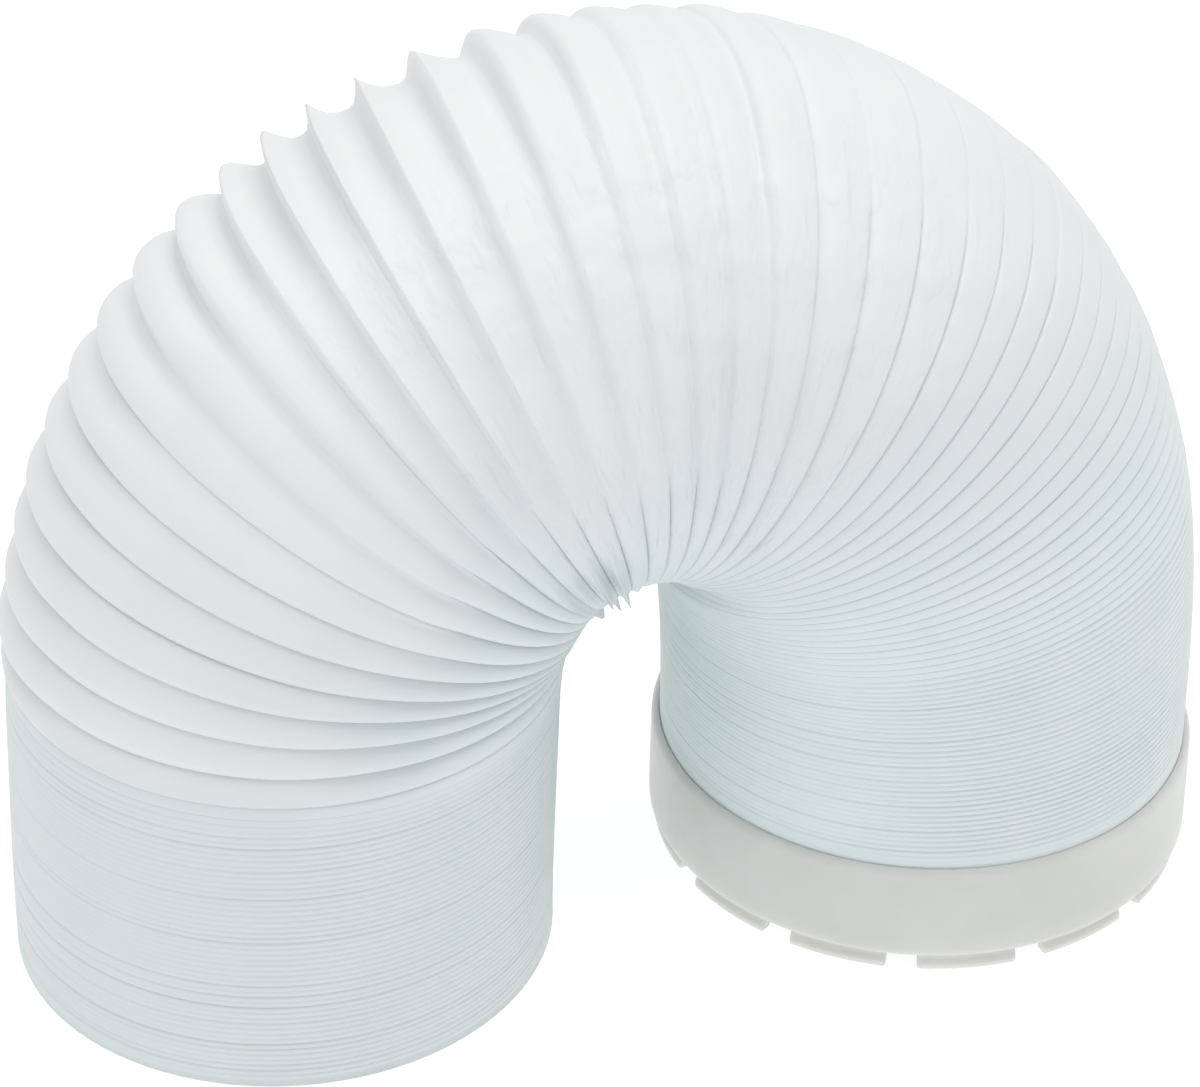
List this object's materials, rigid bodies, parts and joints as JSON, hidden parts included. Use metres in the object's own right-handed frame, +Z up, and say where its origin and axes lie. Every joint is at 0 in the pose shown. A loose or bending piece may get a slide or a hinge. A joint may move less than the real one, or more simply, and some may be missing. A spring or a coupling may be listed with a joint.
{
  "type": "dryer vent hose",
  "caption": "Flexible white plastic dryer vent hose, closed up and bent into an arch, with a milky plastic adaptor collar with snap-in tabs on one end.",
  "frame": {"origin": "middle of the footprint on the floor that both legs stand on", "axes": "+Z up, +X along the arch's span from the free leg to the collar leg, -Y towards the viewer in the picture"},
  "size_m": [0.2402, 0.1128, 0.1839],
  "materials": {
    "film": "smooth white plastic film, slightly glossy",
    "milky": "natural milky moulded plastic"
  },
  "bodies": {
    "root": {"hose": "film", "adaptor_collar": "milky"}
  },
  "joints": []
}
